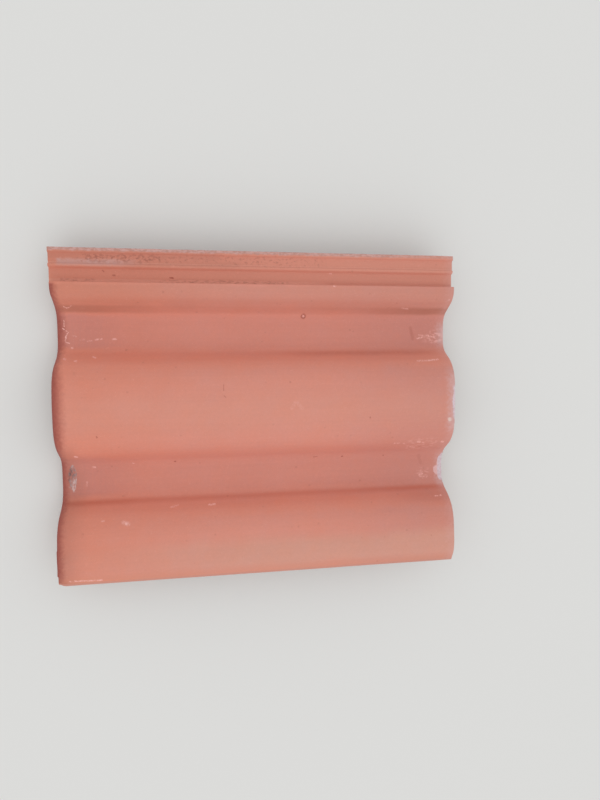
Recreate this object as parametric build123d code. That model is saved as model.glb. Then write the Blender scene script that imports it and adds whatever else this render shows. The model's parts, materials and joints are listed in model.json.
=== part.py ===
from build123d import *
import os
from math import atan2, cos, degrees, radians, tan

# A terracotta-coloured interlocking roof tile with two rolls and two pans, one moulded
# piece. It is drawn as laid on a roof: x runs up the slope from the nose to the head,
# y points to the side lock, z is up from the floor of the pans. Last, it is turned to
# lie on level ground, on its first weather bar and its nibs. Millimetres and degrees.

# Whole tile
tile_length = 415.0
cover_width = 302.0
body_thickness = 12.0

# Rolls and pans
roll_height = 34.0
pan_floor_width = 35.0
flank_angle = 57.0
crown_angle = 5.7
crown_radius = 180.0
last_crown_radius = 50.0
shoulder_radius = 36.0
foot_radius = 16.0
least_straight = 0.5

# Side lock, counted from its outer edge towards the rolls
lock_width = 33.5
rib_height = 25.0
rib_width = 4.6
rib_slope = 1.4
channel_height = 22.3
channel_width = 8.8
ridge_height = 24.4
ridge_width = 2.4
ridge_slope = 1.0
gutter_height = 20.5
gutter_slope = 2.0
wall_slope = 1.0
lock_thickness = 9.0
lock_haunch_radius = 8.0

# Part roll beside the lock
start_height = 28.2
start_radius = 18.0
start_to_pan = 47.8

# What the pitch of the rolls gains over half the cover width, to keep the lip narrow
pitch_gain = 1.5

# Overlapping lip of the last roll, which closes over the next tile's side lock
joint_gap = 1.5
seat_gap = 1.7
key_gap = 1.0
key_slope = 0.8
lip_edge_height = 27.0
lip_shoulder_radius = 20.0

# Nose rounding, with room for the cutter to pass beyond the surface
nose_radius = 8.0
cutter_margin = 5.0

# Nibs that hang the tile on its batten
nib_setback = 19.0
nib_drop = 12.0
nib_width = 42.0
nib_thickness = 13.0
nib_draft = 2.0
nib_root = 5.0
nib_rounding = 2.5

# Weather bars across the underside of the nose
bar_setback = 9.0
bar_spacing = 20.0
bar_count = 2
bar_width = 6.0
bar_drop = 2.5
bar_root = 9.0

# Places along and across the tile
hang_length = tile_length - nib_setback
tile_width = cover_width + lock_width - joint_gap
roll_pitch = cover_width / 2 + pitch_gain
half_pitch = roll_pitch / 2
first_pan = lock_width + start_to_pan
middle_roll = first_pan + half_pitch
second_pan = first_pan + roll_pitch
last_roll = second_pan + half_pitch

# Slopes of the roll's sides, how far a corner moves along for each unit of depth, and
# how much of a straight side each unit of a shoulder's radius takes up
flank_rise = tan(radians(flank_angle))
crown_rise = tan(radians(crown_angle))
corner_shift = tan(radians(flank_angle / 2))
shoulder_reach = tan(radians((flank_angle - crown_angle) / 2))


def foot(depth):
    """Distance of a roll's foot from its middle, this far below the top surface."""
    return (roll_pitch - pan_floor_width) / 2 - depth * corner_shift


def apex(depth):
    """Height where the two straight sides of the crown would meet."""
    peak = roll_height + crown_radius * (1 / cos(radians(crown_angle)) - 1)
    return peak - depth / cos(radians(crown_angle))


def shoulder(depth):
    """Distance from the roll's middle, and height, where the crown meets the flank."""
    out = (foot(depth) * flank_rise - depth - apex(depth)) / (flank_rise - crown_rise)
    return out, apex(depth) - out * crown_rise


def crown_arc(depth):
    """Radius over the middle of the roll, as far as its straight sides leave room."""
    side = shoulder(depth)[0] / cos(radians(crown_angle))
    room = side - (shoulder_radius - depth) * shoulder_reach - least_straight
    return min(crown_radius - depth, room / crown_rise)


def rolling_run(depth):
    """Corners and their radii from the first pan to the last roll's shoulder."""
    out, high = shoulder(depth)
    convex = shoulder_radius - depth
    concave = foot_radius + depth
    start_foot = first_pan - half_pitch + foot(depth)
    return [
        (start_foot, -depth, concave),
        (middle_roll - foot(depth), -depth, concave),
        (middle_roll - out, high, convex),
        (middle_roll, apex(depth), crown_arc(depth)),
        (middle_roll + out, high, convex),
        (middle_roll + foot(depth), -depth, concave),
        (last_roll - foot(depth), -depth, concave),
        (last_roll - out, high, convex),
    ]


def start_corner(height, depth, radius):
    """Corner above the first pan where a level surface meets the part roll's flank."""
    start_foot = first_pan - half_pitch + foot(depth)
    return (start_foot - (height + depth) / flank_rise, height, radius)


def roll_top():
    """Top surface from the lock's wall to the edge of the lip, where the last roll falls."""
    fall_start = (last_roll + tile_width) / 2
    lip_shoulder_height = apex(0) - (fall_start - last_roll) * crown_rise
    fall = atan2(lip_shoulder_height - lip_edge_height, tile_width - fall_start)
    fall_reach = tan((fall - radians(crown_angle)) / 2)
    room = fall_start - last_roll - last_crown_radius * crown_rise - least_straight
    return [
        (lock_width, start_height, 0),
        start_corner(start_height, 0, start_radius),
        *rolling_run(0),
        (last_roll, apex(0), last_crown_radius),
        (fall_start, lip_shoulder_height, min(lip_shoulder_radius, room / fall_reach)),
        (tile_width, lip_edge_height, 0),
    ]


def along(start, *steps):
    """Running positions from a start and the steps that follow it."""
    places = [start]
    for step in steps:
        places.append(places[-1] + step)
    return places


rib_end, channel_start, channel_end, ridge_start, ridge_end, gutter_start = along(
    rib_width, rib_slope, channel_width, ridge_slope, ridge_width, gutter_slope
)
gutter_end = lock_width - wall_slope


def lock_top():
    """Top of the side lock, from its outer edge to the foot of the wall."""
    return [
        (0, rib_height, 0),
        (rib_end, rib_height, 0),
        (channel_start, channel_height, 0),
        (channel_end, channel_height, 0),
        (ridge_start, ridge_height, 0),
        (ridge_end, ridge_height, 0),
        (gutter_start, gutter_height, 0),
        (gutter_end, gutter_height, 0),
    ]


def lip_underside():
    """Underside of the lip: two keys that hang into the next tile's channel and gutter."""
    roll_underside = last_roll - (cover_width - joint_gap)
    roll_height_there = apex(body_thickness) - roll_underside * crown_rise
    gutter_key = cover_width + gutter_start + key_gap
    channel_key_end = cover_width + channel_end - key_gap
    channel_key_start = cover_width + channel_start + key_gap
    return [
        (tile_width, gutter_height + seat_gap, 0),
        (gutter_key, gutter_height + seat_gap, 0),
        (gutter_key - key_slope, ridge_height + seat_gap, 0),
        (channel_key_end + key_slope, ridge_height + seat_gap, 0),
        (channel_key_end, channel_height + seat_gap, 0),
        (channel_key_start, channel_height + seat_gap, 0),
        (channel_key_start - key_slope, rib_height + seat_gap, 0),
        (cover_width - joint_gap, rib_height + seat_gap, 0),
        (cover_width - joint_gap - key_slope, roll_height_there, 0),
    ]


def on_section(corners):
    """Points of the cross-section: the side lock's outer edge is at y = 0."""
    return [(-across, height) for across, height, radius in corners]


def radii(corners):
    return [radius for across, height, radius in corners]


def outline(corners):
    """Closed face of the cross-section through these corners."""
    edge = Plane.YZ * FilletPolyline(*on_section(corners), radius=radii(corners), close=True)
    return make_face(edge)


def tile_section():
    """The whole cross-section; the last shoulder is as round as the lip leaves room for."""
    lock_underside = gutter_height - lock_thickness
    lip = lip_underside()
    *run, (place, height, radius) = rolling_run(body_thickness)
    room = lip[-1][0] - place - least_straight
    underside = [
        (0, lock_underside, 0),
        start_corner(lock_underside, body_thickness, lock_haunch_radius),
        *run,
        (place, height, min(radius, room / shoulder_reach)),
    ]
    return outline(lock_top() + roll_top() + lip + underside[::-1])


def nose_rounding():
    """What the rounded nose takes away, swept along the top edge from lock to lip."""
    *route, shoulder_end, edge = roll_top()
    fall = (shoulder_end[1] - edge[1]) / (edge[0] - shoulder_end[0])
    beyond = (edge[0] + cutter_margin, edge[1] - cutter_margin * fall, 0)
    route = [*route, shoulder_end, beyond]
    path = Plane.YZ * FilletPolyline(*on_section(route), radius=radii(route)[1:-1])
    section_plane = Plane(path @ 0, x_dir=(1, 0, 0), z_dir=path % 0)
    corner = Rectangle(
        nose_radius + cutter_margin,
        nose_radius + cutter_margin,
        align=(Align.MIN, Align.MIN),
    )
    corner = Pos(-cutter_margin, -nose_radius) * corner
    quarter = Pos(nose_radius, -nose_radius) * Circle(nose_radius)
    return sweep(section_plane * (corner - quarter), path=path)


def nib():
    """One nib: upright bearing face towards the nose, drafted back, rounded below."""
    foot_height = -body_thickness - nib_drop
    root_height = -body_thickness + nib_root
    side = make_face(
        Plane.XZ
        * Polyline(
            (hang_length, root_height),
            (hang_length, foot_height),
            (hang_length + nib_thickness - nib_draft, foot_height),
            (hang_length + nib_thickness, root_height),
            close=True,
        )
    )
    block = extrude(side, nib_width / 2, both=True)
    return fillet(block.edges().filter_by(Axis.Z), nib_rounding)


def weather_bar():
    """Shallow bar that follows the underside from the first pan to the second."""
    root = sharp_ends(rolling_run(body_thickness - bar_root)[:-1])
    foot_line = sharp_ends(rolling_run(body_thickness + bar_drop)[:-1])
    return extrude(outline(root + foot_line[::-1]), bar_width, dir=(1, 0, 0))


def sharp_ends(corners):
    """The same corners with no rounding at the first and the last."""
    first, *middle, last = corners
    return [(*first[:2], 0), *middle, (*last[:2], 0)]


tile = extrude(tile_section(), tile_length, dir=(1, 0, 0)) - nose_rounding()
for pan in (first_pan, second_pan):
    tile += Pos(0, -pan, 0) * nib()
for bar in range(bar_count):
    tile += Pos(bar_setback + bar * bar_spacing, 0, 0) * weather_bar()

rest_angle = degrees(atan2(nib_drop - bar_drop, hang_length - bar_setback))
tile = Rot(0, -rest_angle, 0) * tile
box = tile.bounding_box()
tile = Pos(-box.center().X, -box.center().Y, -box.min.Z) * tile

os.makedirs("parts", exist_ok=True)
export_step(tile, "parts/roof_tile.step")
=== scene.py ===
import json
import math
from collections import namedtuple

import bmesh
import bpy
import numpy as np
from mathutils import Matrix, Vector, noise
from mathutils.geometry import delaunay_2d_cdt


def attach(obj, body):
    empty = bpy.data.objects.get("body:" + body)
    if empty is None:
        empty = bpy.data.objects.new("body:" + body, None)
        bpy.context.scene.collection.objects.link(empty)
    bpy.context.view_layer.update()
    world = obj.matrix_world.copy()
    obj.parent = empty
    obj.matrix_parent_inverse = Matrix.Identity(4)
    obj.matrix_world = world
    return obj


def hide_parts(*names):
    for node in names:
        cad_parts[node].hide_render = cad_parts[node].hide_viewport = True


# A worn roof tile of coated clay: two rolls, two pans, a side lock and a lip. Its shape is worked
# out in the tile's own level terms and in millimetres: along runs from the nose to the head,
# across from the side lock's outer edge to the lip, and height is up from the floor of the pans.

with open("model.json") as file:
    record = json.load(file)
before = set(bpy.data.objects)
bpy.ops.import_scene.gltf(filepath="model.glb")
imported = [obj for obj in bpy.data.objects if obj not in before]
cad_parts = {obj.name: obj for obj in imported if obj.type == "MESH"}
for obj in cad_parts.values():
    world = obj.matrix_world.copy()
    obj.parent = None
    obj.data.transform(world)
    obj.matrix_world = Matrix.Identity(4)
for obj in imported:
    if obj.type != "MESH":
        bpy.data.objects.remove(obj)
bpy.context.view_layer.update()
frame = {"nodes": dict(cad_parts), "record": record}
tile_node = frame["nodes"]["roof_tile"]
mounts = {mount["name"]: mount for mount in frame["record"]["mounts"]}

to_millimetres = 1000.0
millimetre = 1 / to_millimetres


# The tile's own frame, as it lies in the row's

def resting_angle():
    """How far the tile's length rises, at rest on its nibs and its first weather bar."""
    down = Vector(mounts["batten_bearing_by_lock"]["axis"])
    return math.atan2(down.x, -down.z)


def levelled(solid):
    """The bare tile, level and in millimetres, with the doubled corners of its faces joined."""
    join_distance = 0.001
    bare = bmesh.new()
    bare.from_mesh(solid.data)
    level = Matrix.Scale(to_millimetres, 4) @ turn.inverted().to_4x4()
    bmesh.ops.transform(bare, matrix=level, verts=bare.verts)
    bmesh.ops.remove_doubles(bare, verts=bare.verts, dist=join_distance)
    return bare


def head_rim(bare):
    """Corners of the cross-section as it shows at the square head, from the rib over the top."""
    flatness = 0.01
    head = max(v.co.x for v in bare.verts)
    end_face = {f for f in bare.faces if min(v.co.x for v in f.verts) > head - flatness}
    beside = {}
    for edge in bare.edges:
        if len(end_face.intersection(edge.link_faces)) == 1:
            one, other = edge.verts
            beside.setdefault(one, []).append(other)
            beside.setdefault(other, []).append(one)
    first = max(beside, key=lambda v: (round(v.co.y, 1), v.co.z))
    rim = [first, max(beside[first], key=lambda v: v.co.z)]
    while len(rim) < len(beside):
        rim.append(next(v for v in beside[rim[-1]] if v is not rim[-2]))
    return [v.co.copy() for v in rim]


rest_angle = resting_angle()
turn = Matrix.Rotation(-rest_angle, 3, "Y")
bare_tile = levelled(tile_node)
rim_corners = head_rim(bare_tile)
nose_plane = min(v.co.x for v in bare_tile.verts)
tile_length = max(v.co.x for v in bare_tile.verts) - nose_plane
lock_side = max(c.y for c in rim_corners)
tile_width = lock_side - min(c.y for c in rim_corners)


# The cross-section, with its arcs made round again

arris_turn = math.radians(30)
line_step = 0.1
edge_softness = 0.42
facing_softness = 1.2


def arc_headings(chords):
    """Headings at the corners of a line that make each of its chords the chord of an arc."""
    count = len(chords)
    evenness = 0.02
    mean, change = np.zeros((count, count + 1)), np.zeros((count, count + 1))
    for i in range(count):
        mean[i, i:i + 2] = 0.5
        change[i, i:i + 2] = -evenness, evenness
    wanted = np.concatenate([chords, np.zeros(count)])
    return np.linalg.lstsq(np.vstack([mean, change]), wanted, rcond=None)[0]


def arc_points(start, end, heading_in, heading_out):
    """Close-set points from start up to end, on a curve with these headings at its ends."""
    chord = end - start
    length = np.hypot(*chord)
    t = np.arange(0, 1, line_step / length)[:, None]
    pull_in = length * np.array([math.cos(heading_in), math.sin(heading_in)])
    pull_out = length * np.array([math.cos(heading_out), math.sin(heading_out)])
    return (
        start + chord * t * t * (3 - 2 * t)
        + pull_in * t * (1 - t) ** 2
        - pull_out * t * t * (1 - t)
    )


def rounded_line(corners):
    """Close-set points round the section, and where along them its sharp corners are."""
    chords = np.roll(corners, -1, 0) - corners
    facing = np.arctan2(chords[:, 1], chords[:, 0])
    bend = (facing - np.roll(facing, 1) + math.pi) % (2 * math.pi) - math.pi
    sharp = [i for i in range(len(corners)) if abs(bend[i]) > arris_turn]
    points, starts = [], []
    for first, last in zip(sharp, sharp[1:] + [sharp[0] + len(corners)]):
        run = [i % len(corners) for i in range(first, last)]
        unrolled = np.unwrap(facing[run])
        headings = arc_headings(unrolled)
        starts.append(sum(map(len, points)))
        for k, i in enumerate(run):
            following = corners[(i + 1) % len(corners)]
            points.append(arc_points(corners[i], following, headings[k], headings[k + 1]))
    return np.concatenate(points), starts


def bell(distance, width):
    """1 at no distance, with a smooth fall to next to nothing at three times this width."""
    return np.exp(-0.5 * (distance / width) ** 2)


def blurred(values, width, around=True):
    """Values along a line, evened out over this many steps."""
    reach = int(4 * width) + 1
    weights = bell(np.arange(-reach, reach + 1), width)
    weights /= weights.sum()
    padded = np.pad(values, reach, mode="wrap" if around else "edge")
    return np.convolve(padded, weights, mode="valid")


# Sharp corners of the section, in their order round it
CORNER_NAMES = (
    "rib_outer", "rib_inner", "channel_outer", "channel_inner", "ridge_outer", "ridge_inner",
    "gutter_outer", "gutter_inner", "wall_top", "lip_top", "lip_bottom",
)
section, corner_starts = rounded_line(np.array([(lock_side - c.y, c.z) for c in rim_corners]))
at_corner = dict(zip(CORNER_NAMES, corner_starts))
at_corner["lock_bottom"] = corner_starts[-1]
pan_height = section[at_corner["wall_top"]:at_corner["lip_top"], 1].min()
section[:, 1] -= pan_height

softened = np.stack([blurred(part, edge_softness / line_step) for part in section.T], 1)
tangent = np.roll(softened, -1, 0) - np.roll(softened, 1, 0)
tangent /= np.hypot(*tangent.T)[:, None]
outward = np.stack([-tangent[:, 1], tangent[:, 0]], 1)
swing = np.arctan2(tangent[:, 1], tangent[:, 0])
curvature = np.abs((np.roll(swing, -1) - swing + math.pi) % (2 * math.pi) - math.pi) / line_step
girth = np.arange(len(section)) * line_step
at_girth = {name: girth[i] for name, i in at_corner.items()}


def underside():
    """The underside in order across: distances across, heights and places round the section."""
    under = slice(at_corner["lip_bottom"], at_corner["lock_bottom"])
    order = np.argsort(softened[under, 0])
    return (*softened[under][order].T, girth[under][order])


under_across, under_height, under_girth = underside()


def to_row(points):
    """Places along, across and up the level tile, as places in the row's frame, in metres."""
    level = np.stack(
        [points[:, 0] + nose_plane, lock_side - points[:, 1], points[:, 2] + pan_height], 1
    )
    return level @ np.array(turn).T / to_millimetres


def from_row(place):
    """A place in the row's frame as a place along, across and up the level tile."""
    level = turn.inverted() @ Vector(place) * to_millimetres
    return np.array([level.x - nose_plane, lock_side - level.y, level.z - pan_height])


# Where the shapes of the tile lie

nose_radius = 8.0
arris_radius = 0.7
end_wear = 0.04
nose_bareness = 0.3
least_lip = 2.2

nib_width = 42.0
nib_thickness = 12.0
nib_rounding = 2.5
nib_drop = 12.0
nib_faces = [from_row(mounts[f"nib_face_by_{side}"]["pos_m"]) for side in ("lock", "lip")]
nib_foot = nib_faces[0][2] - nib_drop / 2

bar_setback = 9.0
bar_spacing = 20.0
bar_count = 2
bar_width = 6.0
bar_drop = 2.4
bar_span = [face[1] for face in nib_faces]

# A step of the surface, as distances out from its edge and the share of the step left there
STEP_PROFILE = ((-2.5, 1.0), (-1.1, 1.0), (-0.4, 0.975), (0.0, 0.91), (0.25, 0.11), (0.8, 0.045),
                (1.8, 0.01), (3.2, 0.0))
STEP_DISTANCES = [distance for distance, share in STEP_PROFILE]
STEP_SHARES = [share for distance, share in STEP_PROFILE]
LOW_STEP_DISTANCES = (-1.2, -0.35, 0.1, 0.7)
LOW_STEP_SHARES = (1.0, 0.86, 0.16, 0.0)
HEAD_ARRIS_LINES = (0, 0.12, 0.45, 1.0)

# Chips in the top: the middle of each, half its spans, its depth and how uneven its floor is
Chip = namedtuple("Chip", "along across half_along half_across depth roughness")
HEAD_CHIP = Chip(416.0, 234.8, 8.2, 16.5, 2.6, 0.5)
HEAD_CHIP_LENS = Chip(409.0, 237.6, 5.2, 6.4, 0.7, 0.25)
HEAD_ROLL_CHIP = Chip(416.5, 158.0, 5.0, 22.0, 0.9, 0.3)
NOSE_CHIP = Chip(11.6, 230.0, 4.2, 15.0, 1.1, 0.5)
CHIPS = (HEAD_CHIP, HEAD_CHIP_LENS, HEAD_ROLL_CHIP, NOSE_CHIP)


# Lines of the surface grid, close where the tile bends

def lines_between(places, gap, fixed):
    """Places spread by the wanted gaps, with the fixed ones kept and their near neighbours out."""
    clearance, decimals = 0.45, 4
    mean_gap = (gap[1:] + gap[:-1]) / 2
    count = np.concatenate([[0], np.cumsum(np.diff(places) / mean_gap)])
    spread = np.interp(np.linspace(0, count[-1], int(count[-1]) + 2), count, places)
    nearest = np.abs(spread[:, None] - fixed).min(1)
    clear = nearest > clearance * np.interp(spread, places, gap)
    return np.unique(np.round(np.concatenate([spread[clear], fixed]), decimals))


def both_edges(start, end, distances):
    """Places at these distances out from both edges of what runs from start to end."""
    return [start - d for d in distances] + [end + d for d in distances]


def girth_lines():
    """Places round the section of the lines that run along the tile."""
    top_gap, under_gap, chip_gap, chip_margin = 2.3, 3.0, 1.7, 4.0
    tight_turn, least_curvature, evening = 0.36, 1e-6, 0.9
    on_top = girth < at_girth["lip_bottom"]
    gap = np.where(on_top, top_gap, under_gap)
    from_chip = np.abs(softened[:, 0] - HEAD_CHIP.across)
    gap[on_top & (from_chip < HEAD_CHIP.half_across + chip_margin)] = chip_gap
    gap = np.minimum(gap, tight_turn / np.maximum(curvature, least_curvature))
    gap = 1 / blurred(1 / gap, evening / line_step)
    steps = both_edges(*bar_span, LOW_STEP_DISTANCES)
    for face in nib_faces:
        steps += both_edges(face[1] - nib_width / 2, face[1] + nib_width / 2, STEP_DISTANCES)
    return lines_between(girth, gap, np.interp(steps, under_across, under_girth))[:-1]


def along_lines():
    """Places along the tile of the rings that run round it."""
    plain_gap, near_end_gap, near_nose, near_head, evening = 2.55, 1.3, 22.0, 16.0, 3.0
    places = np.arange(end_wear, tile_length - end_wear, line_step)
    near_end = (places < near_nose) | (places > tile_length - near_head)
    gap = np.where(near_end, near_end_gap, plain_gap)
    gap = blurred(gap, evening / line_step, around=False)
    nose = [nose_radius * (1 - math.sin(math.radians(angle))) for angle in range(0, 90, 15)]
    head = [tile_length - end_wear - inset for inset in HEAD_ARRIS_LINES]
    steps = both_edges(nib_faces[0][0], nib_faces[0][0] + nib_thickness, STEP_DISTANCES)
    for bar in range(bar_count):
        start = bar_setback + bar * bar_spacing
        steps += both_edges(start, start + bar_width, LOW_STEP_DISTANCES)
    steps = [place for place in steps if nose_radius < place < head[-1]]
    return lines_between(places, gap, [end_wear] + nose + head + steps)


# Relief of the surface, in millimetres off the plain form

def noise_at(points, size, seed, octaves=2):
    """Even, seeded noise at these places, from about -1 to 1; size is that of its features."""
    roughness, finer = 0.8, 2.0
    shift = Vector([part * seed for part in (31.7, 17.3, 7.9)])
    return np.array([
        noise.fractal(Vector(p) + shift, roughness, finer, octaves)
        for p in points / np.broadcast_to(size, 3)
    ])


def chip_depth(chip, along, across, rough):
    """How deep a chip is at each place: a scoop with a steep rim and an uneven floor."""
    rim_wobble, rim_steepness = 0.2, 0.6
    reach = np.hypot((along - chip.along) / chip.half_along,
                     (across - chip.across) / chip.half_across)
    reach = reach * (1 + rim_wobble * rough)
    scoop = np.clip(1 - reach ** 2, 0, 1) ** rim_steepness
    return scoop * chip.depth * (1 + chip.roughness * rough)


def nib_warp(along, across, face):
    """Places near a nib drawn round its upright corners, and how much of its step is there."""
    half_along, half_across = nib_thickness / 2, nib_width / 2
    fade_end, fade_width, least_reach = nib_rounding + 8.0, 7.0, 1e-6
    x, y = along - (face[0] + half_along), across - face[1]
    outside = np.maximum(abs(x) - half_along, abs(y) - half_across)
    share = np.interp(outside, STEP_DISTANCES, STEP_SHARES)
    past_x, past_y = abs(x) - half_along + nib_rounding, abs(y) - half_across + nib_rounding
    square = np.maximum(past_x, past_y)
    fade = np.clip((fade_end - square) / fade_width, 0, 1)
    pull = square / np.maximum(np.hypot(past_x, past_y), least_reach) - 1
    pull = pull * fade * ((past_x > 0) & (past_y > 0))
    return along + np.sign(x) * past_x * pull, across + np.sign(y) * past_y * pull, share


def nose_room():
    """How far the nose's rounding may lower each place round the section."""
    margin, stride = 3.5, 5
    reach = int(margin / line_step)
    below = np.interp(softened[:, 0], under_across, under_height)
    highest = np.max([np.roll(below, shift) for shift in range(-reach, reach + 1, stride)], 0)
    return np.maximum(softened[:, 1] - highest - least_lip, 0)


def quarter_round(distance, radius):
    """How far the surface falls away at this distance from the end of a rounded edge."""
    into = np.clip(radius - distance, 0, radius)
    return radius - np.sqrt(radius ** 2 - into ** 2)


def on_columns(line, columns):
    """What is known all round the section, at these places round it."""
    return np.stack([np.interp(columns, girth, part) for part in np.atleast_2d(line.T)], 1)


def nose_cut(rows, columns):
    """How far the nose's rounding lowers each place, which way, and for what share of a wall."""
    corners = [at_girth[name] for name in ("gutter_inner", "wall_top", "lip_top", "lip_bottom")]
    share = np.interp(columns, corners, [0, 1, 1, 0])
    clearance = 1.2
    rolled = np.clip(columns, corners[1] + clearance, corners[2] - clearance)
    room = on_columns(nose_room(), rolled)[:, 0]
    cut = np.minimum(quarter_round(rows, nose_radius)[:, None], room) * share
    return cut, on_columns(outward, rolled), share


def arris_easing(rows, rounded):
    """How far the other arrises at the two ends are worn back."""
    eased = quarter_round(np.minimum(rows, tile_length - rows), arris_radius)[:, None]
    return eased * np.where(rows[:, None] < nose_radius, 1 - rounded, 1)


def casting_relief(points, coarse, columns):
    """Waves and drag lines of the casting, the ragged outer rib and the coarse underside."""
    wave_depth, drag_depth, grain_depth, lift = 0.11, 0.035, 0.02, 0.6
    under_depth, under_drag_depth, rib_depth, rib_lift = 0.17, 0.07, 0.32, 0.45
    rib_middle, rib_reach, side_middle, side_reach = 1.5, 2.2, 1.0, 3.5
    waves = noise_at(points, size=(60, 38, 38), seed=1).reshape(coarse.shape) + lift
    drag = noise_at(points, size=(140, 6, 6), seed=2).reshape(coarse.shape) + lift
    on_top = (columns > at_girth["rib_inner"]) & (columns < at_girth["lip_top"])
    over_rib = bell(columns - at_girth["rib_outer"] - rib_middle, rib_reach)
    beside_rib = bell(columns - girth[-1] - side_middle, side_reach)
    ragged = np.maximum(over_rib, beside_rib) * rib_depth * np.clip(coarse + rib_lift, 0, 2)
    beneath = columns > at_girth["lip_bottom"]
    rough = beneath * (under_depth * np.clip(coarse + lift, 0, 2) + under_drag_depth * drag)
    even = wave_depth * waves + drag_depth * drag * on_top + grain_depth * (coarse + lift)
    return np.clip(even + ragged + rough, 0, None)


def bar_share(rows, across):
    """How much of a weather bar's height stands at each place."""
    middles = bar_setback + bar_width / 2 + bar_spacing * np.arange(bar_count)
    from_bar = abs(rows[:, None] - middles).min(1) - bar_width / 2
    from_end = np.maximum(bar_span[0] - across, across - bar_span[1])
    lengthwise = np.interp(from_bar, LOW_STEP_DISTANCES, LOW_STEP_SHARES)
    return lengthwise[:, None] * np.interp(from_end, LOW_STEP_DISTANCES, LOW_STEP_SHARES)


def draw_out_nibs(along, across, height, beneath, coarse):
    """Moves the grid at the nibs' places out of the underside, with uneven feet."""
    reach, foot_wear, foot_roughness = nib_width / 2 + 12.0, 0.25, 0.2
    for face in nib_faces:
        near = beneath & (abs(across - face[1]) < reach)
        along[near], across[near], share = nib_warp(along[near], across[near], face)
        foot = nib_foot + foot_wear + foot_roughness * coarse[near]
        height[near] += (foot - height[near]) * share


def surface_grid(rows, columns):
    """Places of the tile's skin, in a ring round the section for each place along, and how
    deep it is chipped there."""
    shape = len(rows), len(columns)
    place = on_columns(softened, columns)
    facing = np.stack([blurred(part, facing_softness / line_step) for part in outward.T], 1)
    facing = on_columns(facing, columns)
    facing /= np.hypot(*facing.T)[:, None]
    along = np.broadcast_to(rows[:, None], shape).copy()
    across, height = (np.broadcast_to(part, shape).copy() for part in place.T)
    points = np.stack([along, across, height], -1).reshape(-1, 3)
    coarse = noise_at(points, size=4.5, seed=3, octaves=3).reshape(shape)
    beneath = columns > at_girth["lip_bottom"]
    rolled_top = (columns > at_girth["wall_top"]) & (columns < at_girth["lip_top"])
    chipped = rolled_top * np.max([chip_depth(chip, along, across, coarse) for chip in CHIPS], 0)

    cut, way, rounded = nose_cut(rows, columns)
    inset = arris_easing(rows, rounded) + casting_relief(points, coarse, columns)
    raised = bar_drop * bar_share(rows, place[:, 0]) * beneath - inset
    across += facing[:, 0] * raised - way[:, 0] * cut
    height += facing[:, 1] * raised - way[:, 1] * cut - chipped
    draw_out_nibs(along, across, height, np.broadcast_to(beneath, shape), coarse)
    return np.stack([along, across, height], -1), chipped


def within(ring, places):
    """Which of these places lie within a closed outline."""
    start, end = ring, np.roll(ring, -1, 0)
    height = places[:, None, 1]
    spans = (start[:, 1] > height) != (end[:, 1] > height)
    rise = np.where(start[:, 1] == end[:, 1], 1, end[:, 1] - start[:, 1])
    passes = start[:, 0] + (end[:, 0] - start[:, 0]) * (height - start[:, 1]) / rise
    return (spans & (places[:, None, 0] < passes)).sum(1) % 2 == 1


def end_points(ring):
    """Evenly spread places within an end's outline, well clear of it."""
    spacing, margin = 2.6, 1.9
    row_spacing = 0.87 * spacing
    places = np.array([
        (across + row % 2 * spacing / 2, height)
        for row, height in enumerate(np.arange(ring[:, 1].min(), ring[:, 1].max(), row_spacing))
        for across in np.arange(0, tile_width, spacing)
    ])
    clear = np.hypot(*(places[:, None] - ring[None]).T).min(0) > margin
    return places[within(ring, places) & clear]


def end_face(ring_places, first, points, along, inward):
    """Faces that close an end of the skin, uneven within; adds their inner points to points."""
    hollow, unevenness, tolerance = 0.25, 0.3, 1e-5
    ring = ring_places[:, 1:]
    flat = [Vector(p) for p in np.concatenate([ring, end_points(ring)])]
    outline = [list(range(len(ring)))]
    found, _, faces, origins, _, _ = delaunay_2d_cdt(flat, [], outline, 1, tolerance)
    rough = noise_at(np.array([(along, *p) for p in found]), size=5.0, seed=4, octaves=3)
    known = []
    for place, origin, bump in zip(found, origins, rough):
        if origin and origin[0] < len(ring):
            known.append(first + origin[0])
        else:
            known.append(len(points))
            depth = max(hollow + unevenness * bump, 0)
            points.append((along + inward * depth, place.x, place.y))
    return [[known[i] for i in (face if inward > 0 else face[::-1])] for face in faces]


def skin_faces(count_rows, count_columns):
    """Four-sided faces between neighbouring rings of the skin."""
    here = np.arange(count_columns)
    beside = np.roll(here, -1)
    band = np.stack([here, beside, beside + count_columns, here + count_columns], 1)
    starts = np.arange(count_rows - 1) * count_columns
    return (starts[:, None, None] + band).reshape(-1, 4).tolist()


def bareness(columns):
    """1 on the uncoated underside and 0 on the top, at these places round the section."""
    lip_band, rib_band, rib_bareness = 4.0, 6.0, 0.4
    lip = at_girth["lip_bottom"]
    places = [lip, lip + lip_band, girth[-1] - rib_band, girth[-1]]
    return np.interp(columns, places, [0, 1, 1, rib_bareness])


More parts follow.
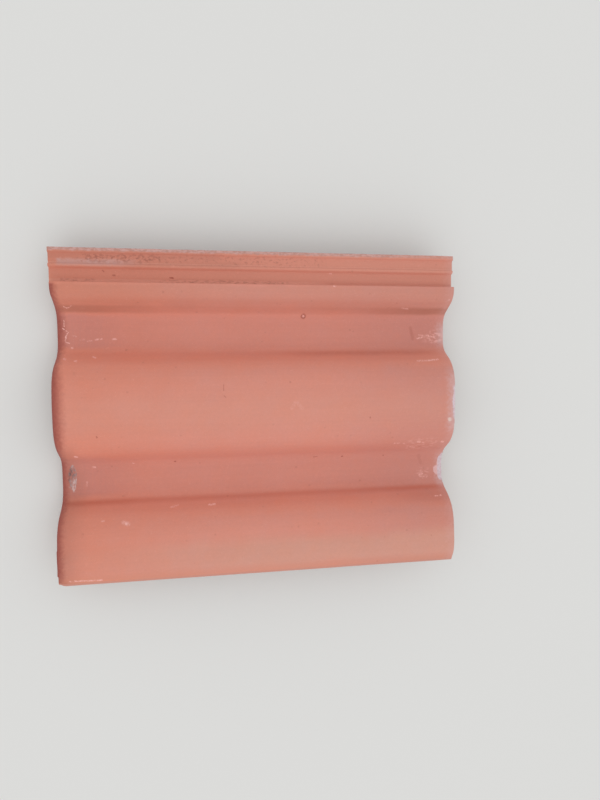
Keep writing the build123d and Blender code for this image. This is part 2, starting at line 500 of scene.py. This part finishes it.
def tile_surface():
    """The whole surface as a mesh that tells its finish where it is bare and chipped."""
    rows, columns = along_lines(), girth_lines()
    grid, chipped = surface_grid(rows, columns)
    points = [tuple(p) for p in grid.reshape(-1, 3)]
    faces = skin_faces(*chipped.shape)
    corners = np.array(faces).ravel()
    bare = np.broadcast_to(bareness(columns), chipped.shape).ravel()[corners]
    depth = chipped.ravel()[corners]
    for row, inward, end_bareness in ((0, 1, nose_bareness), (-1, -1, 1.0)):
        first = row % len(rows) * len(columns)
        end = end_face(grid[row], first, points, rows[row], inward)
        bare = np.append(bare, [end_bareness] * sum(map(len, end)))
        faces += end
    mesh = bpy.data.meshes.new("tile_surface")
    mesh.from_pydata([tuple(p) for p in to_row(np.array(points))], [], faces)
    mesh.shade_smooth()
    depth = np.append(depth, np.zeros(len(bare) - len(depth)))
    for name, values in (("bare", bare), ("chipped", depth)):
        mesh.attributes.new(name, "FLOAT", "CORNER").data.foreach_set("value", values)
    return mesh


surface = tile_surface()
tile = bpy.data.objects.new("tile_surface", surface)
bpy.context.scene.collection.objects.link(tile)
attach(tile, "root")
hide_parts("roof_tile")


# Arithmetic on the values of a finish

class Value:
    """An output of a shader node. Sums, differences and products add the nodes for them."""

    def __init__(self, finish, socket):
        self.finish, self.socket = finish, socket

    def beside(self, name):
        """Another output of the same node."""
        return Value(self.finish, self.socket.node.outputs[name])

    def math(self, operation, first, second):
        return self.finish.node(
            "ShaderNodeMath", {"operation": operation}, {0: first, 1: second}
        )

    def __add__(self, other):
        return self.math("ADD", self, other)

    def __sub__(self, other):
        return self.math("SUBTRACT", self, other)

    def __mul__(self, other):
        return self.math("MULTIPLY", self, other)

    def __rsub__(self, other):
        return self.math("SUBTRACT", other, self)

    __radd__ = __add__
    __rmul__ = __mul__


class Finish:
    """The nodes of a material or a world, added as its expressions are worked out."""

    def __init__(self, owner):
        self.owner = owner
        owner.use_nodes = True
        self.tree = owner.node_tree
        self.tree.nodes.clear()

    def node(self, kind, settings=(), sockets=(), output=0):
        """A node of this kind, with its settings made first and its sockets filled or linked."""
        made = self.tree.nodes.new(kind)
        for name, value in dict(settings).items():
            setattr(made, name, value)
        for name, value in dict(sockets).items():
            if isinstance(value, Value):
                self.tree.links.new(value.socket, made.inputs[name])
            else:
                made.inputs[name].default_value = value
        return Value(self, made.outputs[output]) if made.outputs else None

    def vector(self, operation, first, second, output=0):
        return self.node(
            "ShaderNodeVectorMath", {"operation": operation}, {0: first, 1: second}, output
        )

    def scaled(self, vector, factor):
        """A colour or a vector times a factor that varies."""
        return self.node(
            "ShaderNodeVectorMath", {"operation": "SCALE"}, {0: vector, "Scale": factor}
        )

    def mixed(self, share, plain, other):
        """Colour between plain, at a share of 0, and other, at a share of 1."""
        return self.node(
            "ShaderNodeMix", {"data_type": "RGBA"}, {0: share, 6: plain, 7: other}, output=2
        )

    def fade(self, value, start, end):
        """0 at start or before, 1 at end or past it, and a smooth rise between."""
        return self.node(
            "ShaderNodeMapRange", {"interpolation_type": "SMOOTHSTEP"},
            {"Value": value, "From Min": start, "From Max": end},
        )

    def either(self, first, second):
        """The larger of two shares at each place."""
        return self.node("ShaderNodeMath", {"operation": "MAXIMUM"}, {0: first, 1: second})


def paint(red, green, blue):
    """A colour as it shows on screen, 0 to 255, as the light it sends back."""
    shown = np.array([red, green, blue]) / 255
    light = np.where(shown <= 0.04045, shown / 12.92, ((shown + 0.055) / 1.055) ** 2.4)
    return (*light, 1.0)


class TileFinish(Finish):
    """The finish of the tile, with places on it in the tile's own level terms, and noises of
    four sizes that its layers share: wander, ragged, grain and fine, from large to small."""

    def __init__(self, name):
        super().__init__(bpy.data.materials.new(name))
        row_place = self.node("ShaderNodeTexCoord", output="Object")
        in_millimetres = self.vector("MULTIPLY", row_place, (to_millimetres,) * 3)
        level = self.node(
            "ShaderNodeVectorRotate", {"rotation_type": "Y_AXIS"},
            {"Vector": in_millimetres, "Angle": rest_angle},
        )
        shifted = self.vector("ADD", level, (-nose_plane, -lock_side, -pan_height))
        self.place = self.vector("MULTIPLY", shifted, (1, -1, 1))
        self.along = self.node("ShaderNodeSeparateXYZ", {}, {0: self.place})
        self.across = self.along.beside("Y")
        self.height = self.along.beside("Z")
        self.bare = self.painted("bare")
        self.chipped = self.painted("chipped")
        self.noises = 0
        self.wander = self.uneven(40)
        self.ragged = self.uneven(3.2, detail=3)
        self.grain = self.uneven(1.3, detail=3, roughness=0.65)
        self.fine = self.uneven(0.55)
        shift = self.node("ShaderNodeCombineXYZ", {}, {
            "X": self.ragged * 0.5 + self.grain * 0.3, "Y": self.grain * 0.5,
            "Z": self.height * -1,
        })
        self.ragged_place = self.vector("ADD", self.place, shift)

    def painted(self, name):
        """What the mesh itself says under this name."""
        return self.node("ShaderNodeAttribute", {"attribute_name": name}, output="Fac")

    def elsewhere(self, place, step):
        """A place moved on by a step for each noise so far, so that no two noises are alike."""
        self.noises += 1
        return self.vector("ADD", place, tuple(part * self.noises for part in step))

    def noise(self, size, detail=2.0, roughness=0.5):
        """Noise from 0 to 1, mostly near the middle; size is its features' in millimetres."""
        per_feature = tuple(1 / s for s in np.broadcast_to(size, 3))
        spread = self.vector("MULTIPLY", self.place, per_feature)
        moved = self.elsewhere(spread, (13.7, 7.1, 3.3))
        return self.node(
            "ShaderNodeTexNoise", {},
            {"Vector": moved, "Scale": 1.0, "Detail": detail, "Roughness": roughness},
        )

    def uneven(self, size, detail=2.0, roughness=0.5):
        """Noise spread evenly about 0, seldom beyond -1 and 1."""
        return self.noise(size, detail, roughness) * 4 - 2

    def specks(self, size, share):
        """Small round specks, one to a cell of this size in millimetres, in a share of cells."""
        cells = self.vector("MULTIPLY", self.place, (1 / size,) * 3)
        cells = self.elsewhere(cells, (5.3, 9.1, 2.7))
        reach = self.node("ShaderNodeTexVoronoi", {}, {"Vector": cells, "Scale": 1.0})
        luck = self.node("ShaderNodeSeparateColor", {}, {"Color": reach.beside("Color")})
        softness = 0.02
        return self.fade(reach, 0.42, 0.2) * self.fade(luck, share + softness, share - softness)

    def between(self, value, low, high, softness):
        """1 from low to high, and 0 beyond their soft ends."""
        return self.fade(value, low - softness, low + softness) * self.fade(
            value, high + softness, high - softness
        )

    def patch(self, along, across, softness=3.0):
        """1 within these spans along and across, with soft, wandering edges."""
        shift = self.ragged * (softness * 0.5)
        return self.between(self.along + shift, *along, softness) * self.between(
            self.across + shift, *across, min(softness, (across[1] - across[0]) / 2)
        )

    def stroke(self, mark):
        """How much of a mark lies here: whole along its middle, and fading to its width."""
        start = np.array([mark.along, mark.across, 0])
        run = np.array([mark.to_along, mark.to_across, 0]) - start
        away = self.vector("SUBTRACT", self.ragged_place, tuple(start))
        if run.any():
            share = self.vector("DOT_PRODUCT", away, tuple(run / run.dot(run)), output=1)
            share = self.node("ShaderNodeClamp", {}, {"Value": share})
            away = self.vector("SUBTRACT", away, self.scaled(tuple(run), share))
        reach = self.vector("LENGTH", away, (0, 0, 0), output=1)
        return self.fade(reach, mark.half_width, mark.half_width * 0.3) * mark.strength

    def strokes(self, marks):
        """All of these marks, with ragged outlines."""
        found = self.stroke(marks[0])
        for mark in marks[1:]:
            found = self.either(found, self.stroke(mark))
        return found * (self.grain * 0.35 + 0.9)

    def broken(self, share):
        """A share that is rubbed away in places, as where a scratch skips."""
        return share * self.fade(self.noise(1.5), 0.36, 0.56)


# Marks on the top: where each starts and ends, along and across, half its width, and how far
# its middle takes on the mark's colour. A strength over 1 leaves less of its edge faint.

Mark = namedtuple("Mark", "along across to_along to_across half_width strength")
LIME_DROP = Mark(409.2, 176.2, 409.2, 176.6, 2.7, 1.6)
DROPS = [Mark(*values) for values in (
    (253.7, 63.8, 253.9, 63.8, 1.9, 0.95),
    (66.7, 273.6, 66.9, 273.8, 1.7, 2.0),
    (405, 202.2, 407, 202.8, 1.6, 0.75),
    (376.5, 201.4, 379.5, 202, 1.4, 0.85),
    (15.4, 97, 15.9, 97, 1.3, 0.7),
    (17.9, 206, 19.4, 206.4, 1.4, 1.0),
    (411, 47.2, 411.4, 47.2, 0.9, 0.6),
)]
SCRATCHES = [Mark(*values) for values in (
    (376.5, 112.8, 388, 112.6, 1.2, 0.9),
    (388, 112.8, 401, 111.2, 1.1, 1.4),
    (384, 87.6, 390, 86.4, 1.5, 0.8),
    (386, 84.2, 391, 84.6, 1.3, 0.6),
    (396, 84.4, 401, 85.6, 1.5, 0.85),
    (361, 55.4, 369.5, 56, 0.8, 0.6),
    (350.5, 202.4, 356.5, 202.6, 0.9, 0.9),
    (361, 203, 363, 203.2, 1.0, 0.6),
    (383, 202.6, 386, 203.6, 1.1, 0.65),
    (397, 201, 398.5, 201.6, 1.2, 0.45),
    (371, 208, 377, 209, 0.9, 0.75),
    (399, 263.5, 406.5, 263.1, 0.8, 1.2),
    (387, 243, 391, 241.8, 1.2, 0.9),
    (392, 244.6, 396.5, 245.6, 1.0, 0.7),
    (6.4, 77, 10.8, 80, 0.6, 1.6),
    (12, 80.8, 9.4, 85.5, 0.6, 1.3),
    (9.4, 85.5, 9.4, 90.6, 0.8, 1.4),
    (9.4, 90.8, 13, 92.3, 0.6, 1.6),
    (8, 69, 8.4, 75, 0.6, 1.3),
    (10.8, 56.2, 13.8, 57.7, 0.6, 1.0),
    (13.8, 57.7, 18.5, 55.4, 0.6, 0.9),
    (9.8, 107.7, 11.6, 108.5, 1.0, 1.2),
    (21.2, 110.5, 22.4, 110.4, 1.4, 0.95),
    (37, 106, 40, 107.2, 1.0, 0.8),
    (16, 84.4, 20, 85.4, 1.1, 0.4),
    (23.5, 88.8, 27, 88.2, 1.3, 0.25),
    (30, 90.2, 34.5, 89.4, 1.1, 0.4),
    (38.5, 88.5, 45, 87.6, 1.2, 0.95),
    (55, 88, 58.5, 87.7, 1.4, 0.9),
    (64, 272.6, 69, 274.2, 2.8, 0.6),
    (43, 270.5, 45, 270.4, 1.1, 0.65),
    (32, 219.8, 34, 220, 1.4, 1.0),
    (25.3, 234.6, 25.3, 239.4, 0.7, 0.7),
    (72.2, 216.8, 73.2, 217, 1.0, 0.9),
    (111, 261.8, 118, 260.6, 1.2, 0.55),
    (149.5, 261.6, 155.5, 261.2, 1.1, 1.25),
    (235.5, 161, 239, 154.5, 2.4, 0.22),
    (241, 154.5, 246.5, 161, 2.4, 0.22),
    (281.5, 34.6, 284, 34.6, 0.9, 1.2),
    (279, 20.6, 281, 20.6, 1.0, 0.9),
    # Painted highlight along the lip's edge near the nose, listed with the scratches.
    (12, 328.2, 42, 329.2, 1.3, 1.0),
)]
DARK_MARKS = [Mark(*values) for values in (
    (253.9, 63.9, 254.1, 63.9, 3.5, 1.3),
    (41.6, 184.4, 42, 185.4, 1.0, 0.75),
    (166.4, 135.5, 166.2, 141, 0.7, 0.52),
    (166.5, 146.4, 168, 148, 0.8, 0.45),
    (319.3, 171.8, 319.3, 172.6, 0.9, 0.7),
    (114.8, 216.6, 115.4, 216.6, 1.1, 0.85),
    (296.4, 217.8, 296.8, 217.8, 1.0, 1.1),
    (264, 217.3, 268, 217, 0.8, 0.6),
    (343.8, 218.4, 344, 218.4, 0.9, 0.85),
    (6.9, 190, 6.9, 196, 2.6, 0.35),
    (388, 302.6, 388.2, 302.6, 0.9, 0.6),
    (50.5, 21.6, 51.5, 22.4, 1.1, 0.85),
    (60, 26, 62, 26.2, 1.1, 0.75),
    (115.5, 27.4, 118, 27.8, 1.2, 1.1),
    (380, 206, 386, 210, 1.6, 0.18),
    (376, 76, 379, 88, 2.6, 0.28),
    (386, 220, 389, 229, 2.6, 0.18),
)]


# Layers of the clay's colour, from the first to the last

def coat_colour(clay):
    """Orange coat, purer at the nose and duller towards the head, paler on the crests; a painted
    sheen on the full roll's crest and painted light on flanks facing away from the lamp.
    """
    along = clay.along + clay.wander * 18
    across = clay.across + clay.wander * 2.5
    colour = clay.mixed(clay.fade(along, 10, 170), paint(222, 139, 117), paint(221, 144, 126))
    colour = clay.mixed(clay.fade(along, 250, 390), colour, paint(211, 139, 124))
    worn = clay.fade(along, 20, 230)
    beige = clay.between(across, 297, 327, 9) * (worn * 0.75 + 0.2)
    colour = clay.mixed(beige, colour, paint(216, 153, 134))
    # Painted sheen: the full roll's crest is made paler, as if it reflected the sky.
    painted_crest_sheen = clay.between(across, 146, 178, 14) * 0.45
    colour = clay.mixed(painted_crest_sheen, colour, paint(221, 150, 131))
    # Painted light: the flanks that face the side lock, away from the lamp, are made lighter.
    painted_flank_light = clay.between(across, 103, 119, 5) + clay.between(across, 259, 272, 4)
    colour = clay.mixed(painted_flank_light * 0.6, colour, paint(226, 144, 122))
    part_roll = clay.mixed(clay.fade(along, 30, 190), paint(203, 128, 105), paint(206, 138, 121))
    colour = clay.mixed(clay.between(across, 35, 56, 3) * 0.7, colour, part_roll)
    hue = clay.uneven(26, detail=4) * 0.32 + clay.uneven(9, detail=3) * 0.22 + 0.5
    orange = clay.vector("MULTIPLY", colour, (1.02, 0.975, 0.94))
    pink = clay.vector("MULTIPLY", colour, (0.985, 1.02, 1.06))
    return clay.mixed(hue, orange, pink)


def crease_colour(clay, colour):
    """Red-brown lines at the feet of the rolls, strongest near the ends, and painted shade towards
    the head on the last roll's flank and in the full roll's crease.
    """
    across = clay.across + clay.wander * 0.5
    end = clay.fade(clay.along, 120, 20) * 0.6 + clay.fade(clay.along, 300, 395) * 0.6 + 0.25
    by_lock = clay.between(across, 55, 61.5, 1.6) * end
    colour = clay.mixed(by_lock * 0.8, colour, paint(176, 110, 90))
    by_lip = clay.between(across, 253.6, 257.4, 2.2) * (end * 0.6 + 0.3)
    colour = clay.mixed(by_lip * 0.85, colour, paint(200, 108, 84))
    # Painted shade on the last roll's flank near the head.
    towards_head = clay.fade(clay.along + clay.wander * 8, 335, 405)
    shaded = towards_head * clay.between(across, 258, 270, 5) * 0.45
    colour = clay.mixed(shaded, colour, paint(190, 112, 98))
    # Painted shade: a darker line in the crease at the full roll's foot, towards the head.
    middle = clay.fade(clay.along, 190, 280) * clay.fade(clay.along, 412, 385)
    painted_crease_shade = middle * clay.between(across, 101, 105.5, 3) * (clay.ragged * 0.15 + 0.4)
    return clay.mixed(painted_crease_shade, colour, paint(186, 108, 88))


def pan_dust(clay, colour):
    """Grey-pink dust that lies in the pans, most at their ends."""
    across = clay.across + clay.wander * 2
    pans = clay.either(clay.between(across, 64, 97, 3), clay.between(across, 209, 249, 4))
    by_lock = clay.fade(clay.across, 160, 150)
    ends = clay.fade(clay.along, 90, 25) * 0.42 + clay.fade(clay.along, 350, 405) * by_lock * 0.3
    ends = ends + 0.18
    streaks = clay.uneven((2.0, 16, 16), detail=3) * 0.18 + 1
    return clay.mixed(pans * ends * streaks, colour, paint(200, 132, 122))


def lock_colour(clay, colour):
    """Side lock: reddish, with grey-violet dirt in its channel and specks at its walls."""
    lock = clay.fade(clay.across, 34, 33)
    head = clay.fade(clay.along, 40, 330)
    red = clay.mixed(head, paint(210, 133, 111), paint(215, 142, 122))
    colour = clay.mixed(lock * 0.85, colour, red)
    film = clay.patch((-5, 165), (2, 12), 6) * 0.16
    dull = clay.patch((70, 185), (11, 18), 3) * 0.13
    colour = clay.mixed(clay.either(film, dull), colour, paint(140, 95, 83))
    by_ridge = clay.between(clay.across, 13.8, 15.8, 0.8)
    by_wall = clay.between(clay.across, 29.8, 32.8, 1) * clay.fade(clay.along, 290, 250)
    colour = clay.mixed(clay.either(by_ridge, by_wall) * 0.24, colour, paint(250, 190, 170))
    dust = clay.patch((8, 120), (11, 17), 2) * clay.fade(clay.along, 96, 56)
    dust = dust * (clay.ragged * 0.25 + 0.72)
    colour = clay.mixed(dust, colour, paint(202, 156, 148))
    dirt = clay.noise((3.0, 2.3, 3), detail=4)
    brown = clay.fade(dirt, 0.46, 0.64) * clay.patch((28, 108), (6, 13), 3)
    faint = clay.fade(dirt, 0.52, 0.68) * clay.patch((100, 270), (5, 14), 6) * 0.4
    colour = clay.mixed(clay.either(brown * 0.62, faint), colour, paint(152, 88, 72))
    foot = clay.fade(clay.noise((5, 1.4, 2), detail=3), 0.46, 0.62)
    foot = foot * clay.either(
        clay.patch((10, 42), (29.6, 33), 2), clay.patch((105, 235), (29.6, 33), 2)
    )
    return clay.mixed(foot * 0.42, colour, paint(144, 82, 68))


def rib_colour(clay, colour):
    """Outer rib, where the coat is thin and the pale body shows."""
    edge = clay.fade(clay.across + clay.ragged * 0.8, 4.2, 2.2)
    grains = clay.fade(clay.noise((3.2, 1.5, 1.5), detail=3), 0.38, 0.6)
    pale = clay.mixed(grains, paint(188, 142, 132), paint(208, 166, 160))
    edge = edge * (clay.fade(clay.along, 385, 320) * 0.4 + 0.45)
    return clay.mixed(edge, colour, pale)


def nose_shade_and_dirt(clay, colour):
    """Dark red painted shade on the rounded nose, where it turns away from the light, widest on
    the full roll, with dirt behind it.
    """
    off_lock = clay.fade(clay.across, 33, 37)
    dirt = clay.fade(clay.along + clay.wander * 4, 32, 4) * clay.fade(clay.across, 185, 205)
    colour = clay.mixed(dirt * 0.32, colour, paint(150, 92, 78))
    # Painted shade on the rounded nose, where it turns away from the light: widest on the full
    # roll.
    full_roll = clay.between(clay.across, 122, 194, 14) * 0.33
    by_lock = clay.between(clay.across, 62, 98, 6) * 0.2
    reach = (clay.along + clay.ragged * 1.2) * (1 - full_roll - by_lock)
    band = clay.fade(reach, 11, 0.5) * off_lock
    return clay.mixed(band, colour, paint(158, 76, 64))


def lip_colour(clay, colour):
    """Lip, a purer orange towards its thin edge, which is a little worn."""
    near = clay.fade(clay.across, 320, 329) * 0.35
    colour = clay.mixed(near, colour, paint(212, 138, 112))
    edge = clay.fade(clay.across, 330.5, 332)
    return clay.mixed(edge * 0.8, colour, paint(204, 142, 126))


def marked_colour(clay, colour):
    """Pale scuffs, scratches and drops, a painted highlight on the lip's edge near the nose, and
    dark pits.
    """
    rubbed = clay.fade(clay.noise((4.5, 2.8, 3), detail=2.5), 0.44, 0.68)
    head_scuff = clay.patch((386, 430), (79, 92), 4) * (clay.fade(clay.along, 384, 412) * 0.8)
    lip_scuff = clay.patch((385, 398), (236, 247), 4) * 0.5
    mid_scuff = clay.patch((366, 400), (198, 212), 4) * 0.25
    scuffs = clay.either(clay.either(head_scuff, lip_scuff), mid_scuff) * rubbed
    colour = clay.mixed(clay.strokes(DARK_MARKS), colour, paint(170, 85, 66))
    pale = clay.either(clay.broken(clay.strokes(SCRATCHES)), clay.strokes(DROPS))
    colour = clay.mixed(clay.either(scuffs * 1.2, pale), colour, paint(244, 184, 174))
    return clay.mixed(clay.stroke(LIME_DROP), colour, paint(234, 208, 194))


def head_colour(clay, colour):
    """Pale dust and bared body along the head's edge."""
    edge = clay.fade(clay.along + clay.ragged * 1.8, 402, 414)
    roll = clay.between(clay.across, 126, 188, 8)
    chips = clay.between(clay.across, 220, 254, 5)
    pan = clay.between(clay.across, 72, 94, 7)
    worn = clay.either(clay.either(roll, chips), pan)
    share = edge * (worn * 0.6 + 0.2) * (clay.ragged * 0.25 + 0.85)
    return clay.mixed(share, colour, paint(214, 176, 174))


def body_colour(clay):
    """Bare fired body of the underside and the head's end, drawn lengthwise and part bloomed."""
    mottled = clay.uneven(22, detail=4) * 0.5 + 0.5
    colour = clay.mixed(mottled, paint(182, 126, 110), paint(200, 148, 134))
    colour = clay.scaled(colour, clay.uneven((80, 3.5, 6), detail=4) * 0.06 + 1)
    bloom = clay.fade(clay.uneven(42, detail=5, roughness=0.6), 0.25, 1.3) * 0.5
    colour = clay.mixed(bloom, colour, paint(222, 200, 190))
    dusty = clay.fade(clay.uneven(7, detail=4), 0.1, 1.2) * 0.4
    colour = clay.mixed(dusty, colour, paint(206, 170, 160))
    colour = clay.mixed(clay.specks(2.3, 0.25) * 0.3, colour, paint(150, 96, 80))
    return clay.mixed(clay.specks(1.9, 0.3) * 0.35, colour, paint(226, 196, 182))


def chip_colour(clay, colour):
    """Freshly bared body in the chips, pale lilac, darker and speckled at the nose."""
    outer = clay.mixed(clay.ragged * 0.5 + 0.5, paint(214, 184, 190), paint(232, 218, 226))
    inner = clay.fade(clay.along + clay.ragged * 0.8, 411, 408)
    head = clay.mixed(inner, outer, paint(236, 190, 188))
    streak = clay.uneven((1.3, 7, 4), detail=3)
    dark = clay.between(clay.across + clay.ragged * 2, 218, 233, 4)
    dark = dark * 0.6 + streak * 0.4 + clay.fade(clay.along, 12.5, 10) * 0.3
    nose = clay.mixed(dark, paint(218, 188, 184), paint(118, 88, 86))
    at_nose = clay.fade(clay.along, 60, 50)
    fresh = clay.mixed(at_nose, head, nose)
    share = clay.fade(clay.chipped + clay.ragged * 0.14, 0.1, 0.4)
    left = clay.fade(clay.noise((1.4, 4, 4), detail=3), 0.56, 0.4) * at_nose * 0.75
    return clay.mixed(share * (0.94 - left), colour, fresh)


def grained_colour(clay, colour, pores, pits):
    """Dark pores and pits, pale sand and small changes of tone, all over the tile."""
    colour = clay.mixed(pores * 0.45, colour, paint(112, 70, 58))
    colour = clay.mixed(pits * 0.2, colour, paint(132, 82, 68))
    colour = clay.mixed(clay.specks(1.7, 0.1) * 0.1, colour, paint(240, 200, 184))
    drag = clay.uneven((90, 2.4, 8), detail=3)
    tone = clay.grain * 0.024 + clay.ragged * 0.02 + clay.wander * 0.014 + drag * 0.014
    return clay.scaled(colour, tone + clay.fine * 0.03 + 1.012)


def grain_height(clay, rough, pores, pits):
    """Height of the grain in millimetres, coarser where the tile is rough, less its holes."""
    height = clay.grain * (rough * 0.12 + 0.035) + clay.ragged * (rough * 0.22 + 0.02)
    return height + clay.fine * (rough * 0.04 + 0.014) - pits * 0.25 - pores * 0.6


def fired_clay():
    clay = TileFinish("fired_clay")
    colour = coat_colour(clay)
    for layer in (crease_colour, pan_dust, lock_colour, rib_colour, nose_shade_and_dirt, lip_colour,
                  marked_colour, head_colour):
        colour = layer(clay, colour)
    bare = clay.fade(clay.bare + clay.ragged * 0.12, 0.4, 0.6)
    colour = clay.mixed(bare, colour, body_colour(clay))
    colour = chip_colour(clay, colour)
    rough = clay.either(bare, clay.fade(clay.chipped, 0.1, 0.3))
    pores = clay.either(clay.specks(5.2, 0.03), clay.specks(2.6, 0.05)) * bare
    pits = clay.specks(3.6, 0.01)
    height = grain_height(clay, rough, pores, pits)
    shader = clay.node("ShaderNodeBsdfPrincipled", {}, {
        "Base Color": grained_colour(clay, colour, pores, pits),
        "Roughness": clay.ragged * 0.04 + rough * 0.16 + 0.72,
        "Normal": clay.node("ShaderNodeBump", {}, {"Height": height, "Distance": millimetre}),
    })
    clay.node("ShaderNodeOutputMaterial", {}, {"Surface": shader})
    return clay.owner


surface.materials.append(fired_clay())


# Floor, light and camera

sky_strength = 0.79
lamp_energy = 0.42
lamp_tilt = math.radians(45)
lamp_spread = math.radians(60)
floor_colour = paint(232, 232, 230)
floor_reach = 40.0

camera_place = (-0.0792, 0.05384, 0.63816)
camera_turns = (-3.6513, -11.187, -0.4989)
sensor_width = 36
focal_length = 26
nearest_seen = 0.01


def plain_floor():
    """Pale floor, large enough that its end shows in no view."""
    mesh = bpy.data.meshes.new("floor")
    square = ((-1, -1), (1, -1), (1, 1), (-1, 1))
    corners = [(x * floor_reach, y * floor_reach, 0) for x, y in square]
    mesh.from_pydata(corners, [], [(0, 1, 2, 3)])
    floor = bpy.data.objects.new("floor", mesh)
    bpy.context.scene.collection.objects.link(floor)
    finish = Finish(bpy.data.materials.new("pale_floor"))
    shader = finish.node("ShaderNodeBsdfDiffuse", {}, {"Color": floor_colour})
    finish.node("ShaderNodeOutputMaterial", {}, {"Surface": shader})
    mesh.materials.append(finish.owner)


def overcast_sky():
    """White sky for the light, seen past the floor's end in the lit floor's own colour."""
    sky = Finish(bpy.data.worlds.new("overcast_sky"))
    white = sky.node("ShaderNodeBackground", {}, {"Color": (1, 1, 1, 1), "Strength": sky_strength})
    floor_light = sky_strength + lamp_energy * math.cos(lamp_tilt) / math.pi
    pale = sky.node("ShaderNodeBackground", {}, {"Color": floor_colour, "Strength": floor_light})
    camera_ray = sky.node("ShaderNodeLightPath", output="Is Camera Ray")
    seen = sky.either(camera_ray, camera_ray.beside("Is Glossy Ray"))
    seen = sky.either(seen, camera_ray.beside("Is Transmission Ray"))
    shown = sky.node("ShaderNodeMixShader", {}, {0: seen, 1: white, 2: pale})
    sky.node("ShaderNodeOutputWorld", {}, {"Surface": shown})
    bpy.context.scene.world = sky.owner


def soft_lamp():
    """Broad light from the lip's side, as from the brighter part of an overcast sky."""
    lamp = bpy.data.objects.new("soft_lamp", bpy.data.lights.new("soft_lamp", "SUN"))
    lamp.data.energy = lamp_energy
    lamp.data.angle = lamp_spread
    lamp.rotation_euler = (lamp_tilt, 0, 0)
    bpy.context.scene.collection.objects.link(lamp)


def photo_camera():
    """Camera over the tile, nearer its nose and its side lock, as the photo was taken."""
    camera = bpy.data.objects.new("camera", bpy.data.cameras.new("camera"))
    camera.data.sensor_width = sensor_width
    camera.data.lens = focal_length
    camera.data.clip_start = nearest_seen
    camera.location = camera_place
    camera.rotation_euler = [math.radians(angle) for angle in camera_turns]
    bpy.context.scene.collection.objects.link(camera)
    bpy.context.scene.camera = camera


plain_floor()
overcast_sky()
soft_lamp()
photo_camera()
bpy.context.scene.view_settings.view_transform = "Standard"
